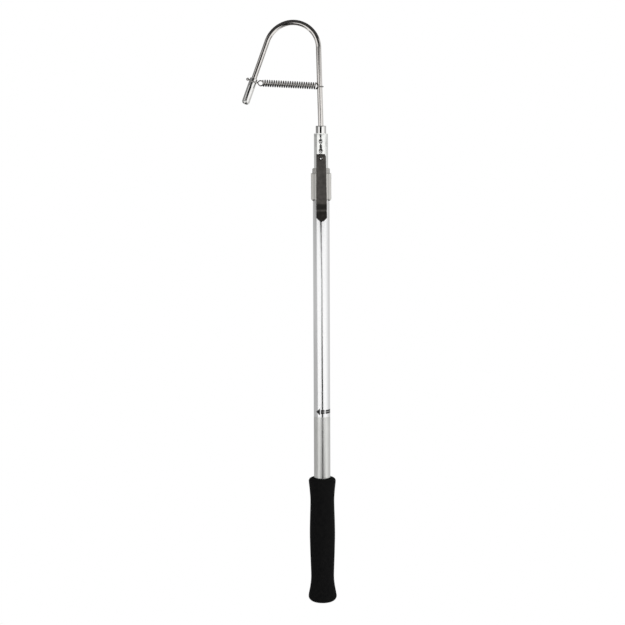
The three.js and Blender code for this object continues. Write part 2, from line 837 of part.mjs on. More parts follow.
// The leaf that springs open for a belt, with its ridge and its flared, gabled tip
function makeClipLeaf() {
  const top = v2(leafMiddle, seamZ - fitGap);
  const bend = v2(leafMiddle, bendZ);
  const ridge = v2(ridgeMiddle, ridgeZ);
  const tip = v2(ridgeMiddle + tipFlare, tipZ);
  const leaf = strip([
    top,
    ...bent(top, bend, ridge, clipBendRadius),
    ...bent(bend, ridge, tip, clipBendRadius),
    tip,
  ]);
  const half = clipHalf(tipZ);
  const high = clipHalf(clipTop);
  const gable = tipZ + gableHeight;
  const outline = new THREE.Shape();
  outline.moveTo(-high, clipTop);
  outline.lineTo(-half, bendZ);
  outline.lineTo(-half, gable + clipCorner);
  outline.quadraticCurveTo(-half, gable, clipCorner - half, gable - clipCorner / 2);
  outline.lineTo(-clipCorner, tipZ + clipCorner / 2);
  outline.quadraticCurveTo(0, tipZ, clipCorner, tipZ + clipCorner / 2);
  outline.lineTo(half - clipCorner, gable - clipCorner / 2);
  outline.quadraticCurveTo(half, gable, half, gable + clipCorner);
  outline.lineTo(half, bendZ);
  outline.lineTo(high, clipTop);
  return leaf.intersect(frontCutter(outline));
}

// Rivet: a domed head on the clip, a shank through clip and tube, and a flat tail inside
function makeClipRivet() {
  const headSeat = clipLegInner + clipThickness + fitGap;
  const wallInside = Math.sqrt(innerBore ** 2 - (rivetTailRadius + Math.abs(rivetOffset)) ** 2);
  const tailTop = wallInside - fitGap;
  return rivetAlongY(turned([
    v2(0, tailTop - rivetTailHeight),
    v2(rivetTailRadius, tailTop - rivetTailHeight),
    v2(rivetTailRadius, tailTop),
    v2(rivetRadius, tailTop),
    v2(rivetRadius, headSeat),
    v2(rivetHeadRadius, headSeat),
    v2(rivetHeadRadius * Math.cos(30 * rad), headSeat + rivetHeadHeight * Math.sin(30 * rad)),
    v2(rivetHeadRadius * Math.cos(60 * rad), headSeat + rivetHeadHeight * Math.sin(60 * rad)),
    v2(0, headSeat + rivetHeadHeight),
  ], barSides));
}

// Finishes: colour, roughness and metalness
const finishes = {
  foam: [0x101012, 0.95, 0],
  anodised: [0xd9dadd, 0.3, 1],
  greyPlastic: [0xb4b1ac, 0.55, 0],
  nylon: [0xe6e4dc, 0.5, 0],
  steel: [0xc9c7c2, 0.18, 1],
  zinc: [0xa9a8a2, 0.4, 1],
  blackSteel: [0x35332f, 0.45, 0.6],
  brass: [0xb89a5a, 0.35, 1],
};

const pieces = [
  ['grip', makeGrip, 'foam'],
  ['outer_tube', makeOuterTube, 'anodised'],
  ['butt_plug', makeButtPlug, 'nylon'],
  ['guide_collar', makeGuideCollar, 'greyPlastic'],
  ['expander_sleeve', makeExpanderSleeve, 'nylon'],
  ['wedge_nut', makeWedgeNut, 'nylon'],
  ['wedge_insert', makeWedgeInsert, 'brass'],
  ['inner_tube', makeInnerTube, 'anodised'],
  ['end_plug', makeEndPlug, 'nylon'],
  ['lock_stud', makeLockStud, 'zinc'],
  ['stop_washer', makeStopWasher, 'zinc'],
  ['stop_nut', makeStopNut, 'zinc'],
  ['hook_ferrule', makeHookFerrule, 'anodised'],
  ['hook', makeHook, 'steel'],
  ['hook_nut', makeHookNut, 'zinc'],
  ['point_cap', makePointCap, 'steel'],
  ['hook_spring', makeSpring, 'steel'],
  ['clip_base', makeClipBase, 'blackSteel'],
  ['clip_leaf', makeClipLeaf, 'blackSteel'],
  ['clip_rivet', makeClipRivet, 'steel'],
];

const gaff = new THREE.Group();
for (const [name, make, finish] of pieces) {
  const [color, roughness, metalness] = finishes[finish];
  const material = new THREE.MeshStandardMaterial({ color, roughness, metalness });
  const mesh = new THREE.Mesh(geometryOf(make()), material);
  mesh.name = name;
  gaff.add(mesh);
}

export default gaff;
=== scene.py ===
import math
import bmesh
import bpy
from mathutils import Matrix, Vector


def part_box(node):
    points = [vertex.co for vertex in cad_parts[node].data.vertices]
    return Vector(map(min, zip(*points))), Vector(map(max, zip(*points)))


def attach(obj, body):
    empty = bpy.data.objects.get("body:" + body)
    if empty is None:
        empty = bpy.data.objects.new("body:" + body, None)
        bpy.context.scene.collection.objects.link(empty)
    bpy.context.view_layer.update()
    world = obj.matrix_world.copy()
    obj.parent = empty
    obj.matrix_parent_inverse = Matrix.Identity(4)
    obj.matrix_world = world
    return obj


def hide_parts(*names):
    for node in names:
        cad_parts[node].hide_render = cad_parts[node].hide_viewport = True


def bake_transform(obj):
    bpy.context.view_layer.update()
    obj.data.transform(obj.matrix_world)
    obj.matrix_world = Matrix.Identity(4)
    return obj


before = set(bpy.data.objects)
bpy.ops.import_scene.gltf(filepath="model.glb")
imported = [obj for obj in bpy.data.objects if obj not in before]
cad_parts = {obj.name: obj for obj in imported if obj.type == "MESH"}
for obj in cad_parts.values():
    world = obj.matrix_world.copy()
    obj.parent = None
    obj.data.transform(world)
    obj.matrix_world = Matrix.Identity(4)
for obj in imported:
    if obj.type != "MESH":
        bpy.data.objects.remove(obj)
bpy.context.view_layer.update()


# Foam grip: one moulding of black closed-cell foam with a flared butt, a belly for the palm
# and a rolled top rim. It is pushed over the tube's closed end and holds by its own squeeze.
mm = 0.001
tube_radius = 9.5 * mm
fit_gap = 0.3 * mm
socket_radius = tube_radius + fit_gap
grip_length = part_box("grip")[1].z
grip_floor = 6 * mm
butt_foam = 7.2 * mm
butt_corner = 6 * mm
butt_edge = 2 * mm
rim_foam = 0.882 * butt_foam
rim_corner = 3.5 * mm
mouth_face = 1.2 * mm
mouth_corner = 0.5 * mm
mouth_depth = 3 * mm
# Places up the grip as shares of its length, and the foam there as a share of the butt's.
grip_outline = [
    (0.077, 0.868), (0.11, 0.724), (0.143, 0.631), (0.176, 0.56), (0.209, 0.549), (0.242, 0.567),
    (0.339, 0.635), (0.403, 0.682), (0.472, 0.719), (0.545, 0.755), (0.635, 0.723), (0.765, 0.64),
    (0.821, 0.61), (0.862, 0.66), (0.894, 0.708), (0.927, 0.771), (0.951, 0.833),
]


def rounded(across, up, radius, first, last, steps=6):
    """Points of a rounded corner in an outline, from one angle to the other in degrees."""
    angles = [math.radians(first + (last - first) * i / steps) for i in range(steps + 1)]
    return [(across + radius * math.cos(a), up + radius * math.sin(a)) for a in angles]


def turned(outline, steps=128):
    """A solid turned on the Z axis from an outline of radius and height."""
    shape = bmesh.new()
    rail = [shape.verts.new((radius, 0, height)) for radius, height in outline]
    edges = [shape.edges.new(pair) for pair in zip(rail, rail[1:])]
    bmesh.ops.spin(
        shape, geom=rail + edges, cent=(0, 0, 0), axis=(0, 0, 1), dvec=(0, 0, 0),
        angle=2 * math.pi, steps=steps, use_merge=True,
    )
    bmesh.ops.remove_doubles(shape, verts=shape.verts[:], dist=1e-6)
    bmesh.ops.recalc_face_normals(shape, faces=shape.faces[:])
    return shape


def finished(name, shape, finish, crease=40):
    """The mesh object of a finished shape, smooth but for its creases."""
    mesh = bpy.data.meshes.new(name)
    shape.to_mesh(mesh)
    shape.free()
    mesh.materials.append(finish)
    for face in mesh.polygons:
        face.use_smooth = True
    mesh.set_sharp_from_angle(angle=math.radians(crease))
    made = bpy.data.objects.new(name, mesh)
    bpy.context.scene.collection.objects.link(made)
    return made


def finish_of(name, **settings):
    """A material with a Principled shader, and that shader."""
    finish = bpy.data.materials.new(name)
    finish.use_nodes = True
    shader = finish.node_tree.nodes["Principled BSDF"]
    for socket, value in settings.items():
        shader.inputs[socket.replace("_", " ")].default_value = value
    return finish, shader


def add(finish, kind, links=(), **settings):
    """A node with its settings; a link is (socket, value or another node's socket)."""
    node = finish.node_tree.nodes.new("ShaderNode" + kind)
    for name, value in settings.items():
        setattr(node, name, value)
    for socket, value in links:
        if isinstance(value, bpy.types.NodeSocket):
            finish.node_tree.links.new(value, node.inputs[socket])
        else:
            node.inputs[socket].default_value = value
    return node


def on_piece(finish, axis=None):
    """The piece's own coordinates in metres, or one axis of them."""
    place = add(finish, "TexCoord").outputs["Object"]
    if axis is None:
        return place
    return add(finish, "SeparateXYZ", [(0, place)]).outputs[axis]


def grain(finish, stretch, scale, detail):
    """Noise on the piece's own coordinates, stretched along its axes."""
    place = add(finish, "Mapping", [("Vector", on_piece(finish)), ("Scale", stretch)])
    texture = add(finish, "TexNoise", [("Vector", place.outputs[0]), ("Scale", scale),
                                       ("Detail", detail)])
    return texture.outputs["Fac"]


def between(finish, share, low, high, low_at=0.3, high_at=0.7):
    """A number that follows a pattern, from low to high."""
    node = add(finish, "MapRange", [("Value", share), ("From Min", low_at), ("From Max", high_at),
                                    ("To Min", low), ("To Max", high)])
    return node.outputs["Result"]


def tint(finish, share, low, high, low_at=0.3, high_at=0.7):
    """A colour that follows a pattern, from low to high."""
    ramp = add(finish, "ValToRGB", [("Fac", share)])
    for stop, colour, at in zip(ramp.color_ramp.elements, (low, high), (low_at, high_at)):
        stop.position = at
        stop.color = (*colour, 1)
    return ramp.outputs["Color"]


def join(finish, output, node, socket):
    """Links an output to a socket of a node, mostly a pattern to the shader."""
    finish.node_tree.links.new(output, node.inputs[socket])


def dented(finish, height, distance, strength=1.0, under=None):
    """Bump of a real depth in metres."""
    links = [("Height", height), ("Distance", distance), ("Strength", strength)]
    if under is not None:
        links.append(("Normal", under))
    return add(finish, "Bump", links).outputs["Normal"]


foam, shader = finish_of("black foam", Roughness=0.9, Specular_IOR_Level=0.12)
skin = grain(foam, (1, 1, 1), 260, 4)
bubbles = add(foam, "TexVoronoi", [("Vector", on_piece(foam)), ("Scale", 1500)])
cells = bubbles.outputs["Distance"]
soot = tint(foam, skin, (0.0028, 0.0028, 0.003), (0.0046, 0.0045, 0.0044))
join(foam, soot, shader, "Base Color")
join(foam, between(foam, cells, 0.82, 0.98), shader, "Roughness")
pores = dented(foam, cells, 0.12 * mm, 0.5)
join(foam, dented(foam, skin, 0.3 * mm, 0.4, pores), shader, "Normal")

flare = tube_radius + butt_foam
rim = tube_radius + rim_foam
side = [(tube_radius + out * butt_foam, along * grip_length) for along, out in grip_outline]
shape = turned([
    (0, 0),
    (flare - butt_corner - butt_edge, 0),
    *rounded(flare - butt_corner, butt_corner, butt_corner, -90, 0, 8),
    *side,
    *rounded(rim - rim_corner, grip_length - rim_corner, rim_corner, 0, 90, 8),
    (tube_radius + mouth_face, grip_length),
    *rounded(socket_radius + mouth_corner, grip_length - mouth_corner, mouth_corner, 90, 180, 3),
    (socket_radius, grip_length - mouth_depth),
    (socket_radius, grip_floor),
    (0, grip_floor),
], 96)
foam_grip = finished("foam_grip", shape, foam)
smooth = foam_grip.modifiers.new("smooth", "SUBSURF")
smooth.levels = smooth.render_levels = 2
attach(foam_grip, "handle")
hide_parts("grip")


# Outer tube: drawn aluminium, 19 mm outside with a 1.2 mm wall, clear anodised to a satin
# finish that keeps the die's fine lines along it. It ends inside the guide collar.
tube_low, tube_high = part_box("outer_tube")
tube_wall = 1.2 * mm
tube_bore = tube_radius - tube_wall
tube_edge = 0.25 * mm


def soften(shape, width, segments=3):
    """Breaks every sharp edge of a solid."""
    sharp = [e for e in shape.edges if e.is_manifold and e.calc_face_angle() > math.radians(35)]
    bmesh.ops.bevel(
        shape, geom=sharp, offset=width, offset_type="OFFSET", segments=segments, profile=0.5,
        affect="EDGES", material=-1, clamp_overlap=True,
    )


def drawn_aluminium(name, colour, dull, roughness):
    """Anodised tube: long die lines, a little cloudiness, and its colour between two tones."""
    finish, shader = finish_of(name, Metallic=1.0)
    lines = grain(finish, (1, 1, 0.006), 2400, 2)
    clouds = grain(finish, (1, 1, 0.2), 55, 3)
    join(finish, tint(finish, clouds, dull, colour), shader, "Base Color")
    join(finish, between(finish, lines, roughness - 0.04, roughness + 0.05), shader, "Roughness")
    join(finish, dented(finish, lines, 0.0015 * mm, 0.5), shader, "Normal")
    return finish, shader


shape = turned([
    (tube_bore, tube_low.z), (tube_radius, tube_low.z), (tube_radius, tube_high.z),
    (tube_bore, tube_high.z), (tube_bore, tube_low.z),
])
soften(shape, tube_edge)
satin_tube, shader = drawn_aluminium("satin anodised tube", (0.99, 0.99, 0.995),
                                     (0.965, 0.965, 0.97), 0.18)
handle_tube = finished("handle_tube", shape, satin_tube)
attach(handle_tube, "handle")
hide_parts("outer_tube")


# Film wrap and arrow: a bare silver film round the tube above the grip, and above that an
# arrow printed in black that shows which way to turn. Both are thinner than paper.
hair = 0.01 * mm
film_low = grip_length + 1.2 * mm
film_top = 220.9 * mm
film_inside = tube_radius + hair
film_outside = tube_radius + 5 * hair
shape = turned([
    (film_inside, film_low), (film_outside, film_low), (film_outside, film_top),
    (film_inside, film_top), (film_inside, film_low),
])
film, shader = finish_of("silver film", Metallic=1.0, Coat_Weight=0.25, Coat_Roughness=0.1)
ripple = grain(film, (1, 1, 0.5), 180, 2)
join(film, tint(film, ripple, (0.76, 0.765, 0.74), (0.82, 0.82, 0.8)), shader, "Base Color")
join(film, between(film, ripple, 0.28, 0.34), shader, "Roughness")
join(film, dented(film, ripple, 0.03 * mm, 0.3), shader, "Normal")
film_wrap = finished("film_wrap", shape, film)
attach(film_wrap, "handle")

# The arrow runs round the tube, so its places are degrees from the front.
arrow_middle = 227.3 * mm
arrow_tip = -44
arrow_neck = -14
tip_half = 0.05 * mm
head_half = 3.9 * mm
dashes = ((-9, 18), (26, 98))
rail_place = 1.4 * mm
rail_half = 0.85 * mm
rung_step = 10
rung_width = 6
ink_thickness = 0.015 * mm
print_radius = tube_radius + 2 * hair


def printed(first, last, half_first, half_last):
    """A patch wrapped on the tube between two angles, with half its height at each."""
    shape = bmesh.new()
    steps = max(2, round((last - first) / 2))
    bmesh.ops.create_grid(shape, x_segments=steps, y_segments=1, size=1)
    for corner in shape.verts:
        share = (corner.co.x + 1) / 2
        angle = math.radians(first + (last - first) * share)
        half = half_first + (half_last - half_first) * share
        corner.co = Vector((
            print_radius * math.sin(angle), -print_radius * math.cos(angle),
            arrow_middle + corner.co.y * half,
        ))
    bmesh.ops.remove_doubles(shape, verts=shape.verts[:], dist=1e-6)
    return shape


ink, shader = finish_of("black ink", Roughness=0.42, Specular_IOR_Level=0.4)
mottle = grain(ink, (1, 1, 1), 900, 4)
join(ink, tint(ink, mottle, (0.006, 0.006, 0.006), (0.02, 0.02, 0.02)), shader, "Base Color")
shape = printed(arrow_tip, arrow_neck, tip_half, head_half)
strokes = []
for first, last in dashes:
    rungs = range(first, last, rung_step)
    strokes += [(first, last, rail_half, rail_place), (first, last, rail_half, -rail_place)]
    strokes += [(rung, rung + rung_width, rail_place - rail_half, 0) for rung in rungs]
for first, last, half, up in strokes:
    part = printed(first, last, half, half)
    bmesh.ops.translate(part, vec=(0, 0, up), verts=part.verts[:])
    patch = bpy.data.meshes.new("patch")
    part.to_mesh(patch)
    part.free()
    shape.from_mesh(patch)
    bpy.data.meshes.remove(patch)
bmesh.ops.recalc_face_normals(shape, faces=shape.faces[:])
turn_arrow = finished("turn_arrow", shape, ink)
skin_of_ink = turn_arrow.modifiers.new("ink", "SOLIDIFY")
skin_of_ink.thickness = ink_thickness
skin_of_ink.offset = 0
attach(turn_arrow, "handle")


# Guide collar: light grey moulded nylon, eight lobes for the fingers below a plain shoulder.
# Its stepped bore is pushed on the outer tube's end and guides the inner tube.
collar_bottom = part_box("guide_collar")[0].z
collar_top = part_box("guide_collar")[1].z
collar_radius = 12.1 * mm
lobes = 8
lobe_radius = 5.5 * mm
lobe_place = collar_radius - lobe_radius
lobe_foot = 2.6 * mm
lobe_head = 0.9 * mm
lobe_rows = 17
row_step = 1.5 * mm
scallop = 0.7 * mm
scallop_reach = 3 * mm
shoulder_height = 5.8 * mm
shoulder_radius = 10 * mm
shoulder_corner = 1.4 * mm
inner_radius = 8 * mm
guide_radius = inner_radius + fit_gap
lobe_top = collar_top - shoulder_height


def lobed(angle, height):
    """The collar's outside at an angle: a lobe with a rounded foot and head, or the core."""
    off = ((angle / (2 * math.pi) * lobes) % 1 - 0.5) * 2 * math.pi / lobes
    radius = lobe_radius
    if height < collar_bottom + lobe_foot:
        drop = collar_bottom + lobe_foot - height
        radius += math.sqrt(max(lobe_foot ** 2 - drop ** 2, 0)) - lobe_foot
    if height > lobe_top - lobe_head:
        rise = height - lobe_top + lobe_head
        radius += math.sqrt(max(lobe_head ** 2 - rise ** 2, 0)) - lobe_head
    inside = radius ** 2 - (lobe_place * math.sin(off)) ** 2
    reach = lobe_place * math.cos(off) + math.sqrt(max(inside, 0))
    root = lobe_place * math.cos(math.pi / lobes)
    root += math.sqrt(lobe_radius ** 2 - (lobe_place * math.sin(math.pi / lobes)) ** 2)
    floor = shoulder_radius if height > collar_bottom + 2 * lobe_foot else socket_radius
    return max(reach, min(root, floor), socket_radius + 5 * hair)


def off_axis(corner):
    """How far a corner is from the shaft's axis."""
    return math.hypot(corner.co.x, corner.co.y)


foot_steps = [lobe_foot * (1 - math.cos(math.radians(a))) for a in range(0, 91, 9)]
head_steps = [lobe_head * math.sin(math.radians(a)) for a in range(0, 91, 15)]
wall = [(collar_radius, collar_bottom + step) for step in foot_steps]
wall += [(collar_radius, collar_bottom + lobe_foot + (i + 1) * row_step) for i in range(lobe_rows)]
wall += [(collar_radius, lobe_top - lobe_head + step) for step in head_steps]
shape = turned([
    (socket_radius, collar_bottom), *wall, (shoulder_radius, lobe_top + 2 * hair),
    *rounded(shoulder_radius - shoulder_corner, collar_top - shoulder_corner, shoulder_corner, 0, 90),
    (guide_radius, collar_top), (guide_radius, tube_high.z + fit_gap),
    (socket_radius, tube_high.z + fit_gap), (socket_radius, collar_bottom),
], 256)
for corner in shape.verts:
    angle = math.atan2(corner.co.y, corner.co.x)
    if off_axis(corner) > collar_radius - hair and corner.co.z < lobe_top + hair:
        share = lobed(angle, corner.co.z) / off_axis(corner)
        corner.co.x *= share
        corner.co.y *= share
    low = 1 - (corner.co.z - collar_bottom) / scallop_reach
    if low > 0:
        corner.co.z += scallop * low * (1 + math.cos(angle * lobes))
bmesh.ops.recalc_face_normals(shape, faces=shape.faces[:])
moulded, shader = finish_of("grey nylon", Roughness=0.45, Specular_IOR_Level=0.4)
speck = grain(moulded, (1, 1, 1), 1600, 2)
flow = grain(moulded, (1, 1, 0.25), 70, 3)
# Painted shade: the colour is darkened in the grooves between the lobes and under the collar's foot,
# where shade falls.
groove_shade_full = collar_radius - 1.1 * mm
groove_shade_gone = collar_radius - 0.6 * mm
foot_shade_full = collar_bottom + 0.35 * mm
foot_shade_gone = collar_bottom + 1.5 * mm
level = add(moulded, "Mapping", [("Vector", on_piece(moulded)), ("Scale", (1, 1, 0))])
out = add(moulded, "VectorMath", [(0, level.outputs[0])], operation="LENGTH").outputs["Value"]
collar_painted_shade = between(moulded, out, 0.68, 1, groove_shade_full, groove_shade_gone)
foot = between(moulded, on_piece(moulded, "Z"), 0.22, 1, foot_shade_full, foot_shade_gone)
collar_painted_shade = add(moulded, "Math", [(0, collar_painted_shade), (1, foot)], operation="MULTIPLY").outputs[0]
plastic = tint(moulded, flow, (0.45, 0.442, 0.418), (0.495, 0.485, 0.462))
# Painted shade darkens the plastic's own colour here.
plastic = add(moulded, "VectorMath", [(0, plastic), ("Scale", collar_painted_shade)], operation="SCALE")
join(moulded, plastic.outputs[0], shader, "Base Color")
join(moulded, between(moulded, speck, 0.4, 0.52), shader, "Roughness")
join(moulded, dented(moulded, speck, 0.02 * mm, 0.35), shader, "Normal")
grey_collar = finished("grey_collar", shape, moulded)
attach(grey_collar, "handle")
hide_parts("guide_collar")


# Hidden nylon: the plug in the tube's closed end, the split sleeve that grips the bore, the
# cone that spreads it and the plug in the inner tube's end, all moulded in natural nylon.
nylon, shader = finish_of("natural nylon", Roughness=0.5, Subsurface_Weight=0.1,
                          Subsurface_Scale=2 * mm)
milk = grain(nylon, (1, 1, 1), 120, 3)
speck = grain(nylon, (1, 1, 1), 1800, 2)
join(nylon, tint(nylon, milk, (0.7, 0.68, 0.6), (0.78, 0.76, 0.69)), shader, "Base Color")
join(nylon, dented(nylon, speck, 0.01 * mm, 0.3), shader, "Normal")
for node in ("butt_plug", "expander_sleeve", "wedge_nut", "end_plug"):
    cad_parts[node].material_slots[0].material = nylon


# Hidden metal of the twist lock: a zinc plated stud with its stop nut and washer, the nut
# under the hook's ferrule, and the brass insert that runs on the stud's thread.
thread_pitch = 0.8 * mm
thread_depth = 0.2 * mm


def turned_metal(name, colour, dull, roughness, pitch=None):
    """Plated or plain turned metal, with a thread's ridges along Z where it has a pitch."""
    finish, shader = finish_of(name, Metallic=1.0)
    wear = grain(finish, (1, 1, 1), 500, 4)
    join(finish, tint(finish, wear, dull, colour), shader, "Base Color")
    join(finish, between(finish, wear, roughness, roughness + 0.12), shader, "Roughness")
    if pitch:
        waves = [("Vector", on_piece(finish)), ("Scale", math.pi / 10 / pitch)]
        ridges = add(finish, "TexWave", waves, bands_direction="Z").outputs["Fac"]
        join(finish, dented(finish, ridges, thread_depth, 0.6), shader, "Normal")
    return finish


thread = turned_metal("zinc plated thread", (0.62, 0.61, 0.57), (0.5, 0.49, 0.46), 0.3, thread_pitch)
zinc = turned_metal("zinc plating", (0.62, 0.61, 0.57), (0.5, 0.49, 0.46), 0.3)
brass = turned_metal("turned brass", (0.75, 0.6, 0.32), (0.62, 0.48, 0.24), 0.24)
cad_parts["lock_stud"].material_slots[0].material = thread
for node in ("stop_washer", "stop_nut", "hook_nut"):
    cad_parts[node].material_slots[0].material = zinc
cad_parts["wedge_insert"].material_slots[0].material = brass


# Inner tube: drawn aluminium, 16 mm outside, brighter than the outer tube. Its mouth is
# rolled over, and two punched dents in front and two behind hold the hook's ferrule.
inner_low, inner_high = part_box("inner_tube")
mouth = inner_high.z
inner_bore = inner_radius - tube_wall
mouth_lip = 1.1 * mm
dent_tops = (mouth - 6.4 * mm, mouth - 17.2 * mm)
dent_depth = 1.2 * mm
dent_wall = 2.5 * mm
dent_floor = 7 * mm
dent_end = 10.8 * mm
dent_half = 2.6 * mm
dent_narrowing = 1.2 * mm
dent_arch = 0.3 / mm
dent_left = 0.35 * mm
dent_row_step = 0.2 * mm
dent_row_foot = dent_tops[1] - 11 * mm
dent_rows = [dent_row_foot + i * dent_row_step for i in range(113)]
shape = turned([
    (inner_bore, inner_low.z), (inner_radius, inner_low.z), (inner_radius, collar_top),
    *[(inner_radius, row) for row in dent_rows],
    *rounded(inner_radius - mouth_lip, mouth - mouth_lip, mouth_lip, 0, 90, 8),
    (inner_bore, mouth),
    *[(inner_bore, row) for row in reversed(dent_rows)],
    (inner_bore, inner_low.z),
], 256)


def held(share):
    """A share kept between 0 and 1."""
    return min(max(share, 0), 1)


def pressed(across, height):
    """How deep the punches leave the metal: an arched slope in, a floor, and a slow way out."""
    depth = 0
    for top in dent_tops:
        down = top - height
        wall = held((down - dent_arch * across ** 2) / dent_wall)
        out = held((down - dent_floor) / (dent_end - dent_floor))
        half = dent_half - dent_narrowing * held(down / dent_wall - 1)
        side = held(1 - (across / half) ** 6)
        depth = max(depth, dent_depth * wall * side * (1 - out))
    return depth


def press(corners):
    """Pushes these corners in where the punches reach them."""
    for corner in corners:
        corner.co.y -= math.copysign(pressed(corner.co.x + dent_left, corner.co.z), corner.co.y)


press(shape.verts)
bright_tube, shader = drawn_aluminium("bright anodised tube", (0.985, 0.99, 0.97),
                                      (0.955, 0.965, 0.94), 0.14)
# The oxide is milky where the mouth is rolled over.
bare = between(bright_tube, on_piece(bright_tube, "Z"), 1, 0.15, mouth - mm, mouth - 0.7 * mm)
join(bright_tube, bare, shader, "Metallic")
sliding_tube = finished("sliding_tube", shape, bright_tube)
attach(sliding_tube, "shaft")
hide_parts("inner_tube")


# Hook ferrule: turned from aluminium bar and polished, with a narrow flat in front and a step
# that sits on the tube's mouth. The tube is punched into it, and the bar's tail goes through.
ferrule_low, ferrule_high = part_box("hook_ferrule")
ferrule_radius = 5.9 * mm
ferrule_corner = 0.6 * mm
ferrule_rim = 1.4 * mm
bar_radius = 3 * mm
bar_bore = bar_radius + fit_gap
bore_chamfer = 0.3 * mm
pressed_radius = inner_bore - fit_gap
flat_place = ferrule_radius - 0.11 * mm
flat_turn = math.radians(4)
shape = turned([
    (bar_bore, ferrule_low.z), (pressed_radius, ferrule_low.z),
    *[(pressed_radius, row) for row in dent_rows if row > ferrule_low.z + 0.5 * mm],
    (pressed_radius, mouth), (ferrule_radius, mouth), (ferrule_radius, mouth + ferrule_rim),
    (ferrule_radius, ferrule_high.z - ferrule_rim),
    *rounded(ferrule_radius - ferrule_corner, ferrule_high.z - ferrule_corner, ferrule_corner, 0, 90),
    (bar_bore + bore_chamfer, ferrule_high.z), (bar_bore, ferrule_high.z - bore_chamfer),
    (bar_bore, ferrule_low.z),
], 192)
press([corner for corner in shape.verts if off_axis(corner) > bar_bore + mm])
flat_way = Vector((-math.sin(flat_turn), -math.cos(flat_turn), 0))
for corner in shape.verts:
    if corner.co.z > mouth + hair:
        corner.co -= flat_way * max(corner.co.dot(flat_way) - flat_place, 0)
polished, shader = finish_of("polished aluminium", Metallic=1.0)
tool_marks = grain(polished, (0.02, 0.02, 1), 5000, 2)
# Painted shade: the colour is darker towards both sides, most of all on the left.
left = between(polished, on_piece(polished, "X"), 0.55, 1, -3.2 * mm, -2.2 * mm)
right = between(polished, on_piece(polished, "X"), 1, 0.74, 3.2 * mm, 4.4 * mm)
painted_side_shade = add(polished, "Math", [(0, left), (1, right)], operation="MULTIPLY").outputs[0]
clean_metal = tint(polished, tool_marks, (0.92, 0.91, 0.89), (0.96, 0.95, 0.93))
# Painted shade scales the polished metal's own colour here.
shaded_metal = add(polished, "VectorMath", [(0, clean_metal), ("Scale", painted_side_shade)], operation="SCALE")
join(polished, shaded_metal.outputs[0], shader, "Base Color")
join(polished, between(polished, tool_marks, 0.04, 0.07), shader, "Roughness")
join(polished, dented(polished, tool_marks, 0.0005 * mm, 0.4), shader, "Normal")
stepped_ferrule = finished("stepped_ferrule", shape, polished)
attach(stepped_ferrule, "shaft")
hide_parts("hook_ferrule")


# Hook: 6 mm stainless bar, bent cold in one plane round two formers, polished, and ground to
# a long round point that the cap covers. Its threaded tail is held under the ferrule.
tail_out = 0.8 * mm
tail_end = Vector((0, 0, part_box("hook_nut")[0].z - tail_out))
lean_radius = 350 * mm
lean_angle = 1.45
shank_length = 87.3 * mm
crown_radius = 28.6 * mm
crown_angle = 103
throat_radius = 32 * mm
throat_angle = 159.8
leg_to_cap = 44.1 * mm
cap_length = 30.7 * mm
cap_floor = 3 * mm
point_length = 21 * mm
point_tip = 0.25 * mm


def bar_way(angle):
    """The bar's direction once it has turned by an angle from up towards the point's side."""
    return Vector((-math.sin(math.radians(angle)), 0, math.cos(math.radians(angle))))


def drawn_on(shape, edges, step):
    """Draws a row of edges on by a step, and gives the row at its new place."""
    made = bmesh.ops.extrude_edge_only(shape, edges=edges)["geom"]
    corners = [g for g in made if isinstance(g, bmesh.types.BMVert)]
    bmesh.ops.translate(shape, vec=step, verts=corners)
    return [g for g in made if isinstance(g, bmesh.types.BMEdge) and all(v in corners for v in g.verts)]


def bar_straight(length, ring_edges, place, angle, cuts=1):
    """Draws the bar straight on by a length, and gives its new end."""
    step = bar_way(angle) * length / cuts
    for _ in range(cuts):
        ring_edges = drawn_on(bar, ring_edges, step)
        place = place + step
    return ring_edges, place


def bar_bend(radius, turn, ring_edges, place, angle):
    """Bends the bar on round a former, and gives its new end."""
    centre = place + bar_way(angle + 90) * radius
    corners = list({v for e in ring_edges for v in e.verts})
    made = bmesh.ops.spin(
        bar, geom=corners + ring_edges, cent=centre, axis=(0, -1, 0), dvec=(0, 0, 0),
        angle=math.radians(turn), steps=max(2, round(turn / 2)), use_merge=False,
    )["geom_last"]
    ring_edges = [g for g in made if isinstance(g, bmesh.types.BMEdge)]
    return ring_edges, centre + bar_way(angle + turn - 90) * radius


leg_end = leg_to_cap + cap_length - cap_floor - fit_gap
bar = bmesh.new()
ring = bmesh.ops.create_circle(bar, radius=bar_radius, segments=40, matrix=Matrix.Translation(tail_end))
ring_edges = list({e for v in ring["verts"] for e in v.link_edges})
ring_edges, place = bar_straight(mouth - tail_end.z, ring_edges, tail_end, 0)
ring_edges, place = bar_bend(lean_radius, lean_angle, ring_edges, place, 0)
shank_foot = place.copy()
ring_edges, place = bar_straight(shank_length, ring_edges, place, lean_angle, 6)
ring_edges, place = bar_bend(crown_radius, crown_angle - lean_angle, ring_edges, place, lean_angle)
ring_edges, place = bar_bend(throat_radius, throat_angle - crown_angle, ring_edges, place, crown_angle)
cap_mouth = place + bar_way(throat_angle) * leg_to_cap
ring_edges, place = bar_straight(leg_end - point_length, ring_edges, place, throat_angle, 4)
ring_edges, place = bar_straight(point_length, ring_edges, place, throat_angle)
tip_verts = list({v for e in ring_edges for v in e.verts})
bmesh.ops.scale(bar, vec=(point_tip / bar_radius,) * 3, verts=tip_verts,
                space=Matrix.Translation(-place))
bmesh.ops.holes_fill(bar, edges=[e for e in bar.edges if e.is_boundary])
bmesh.ops.recalc_face_normals(bar, faces=bar.faces[:])
steel, shader = finish_of("polished stainless bar", Metallic=1.0)
haze = grain(steel, (1, 1, 1), 300, 4)
lines = grain(steel, (1, 1, 0.03), 2600, 2)
join(steel, tint(steel, haze, (0.75, 0.72, 0.69), (0.82, 0.79, 0.76)), shader, "Base Color")
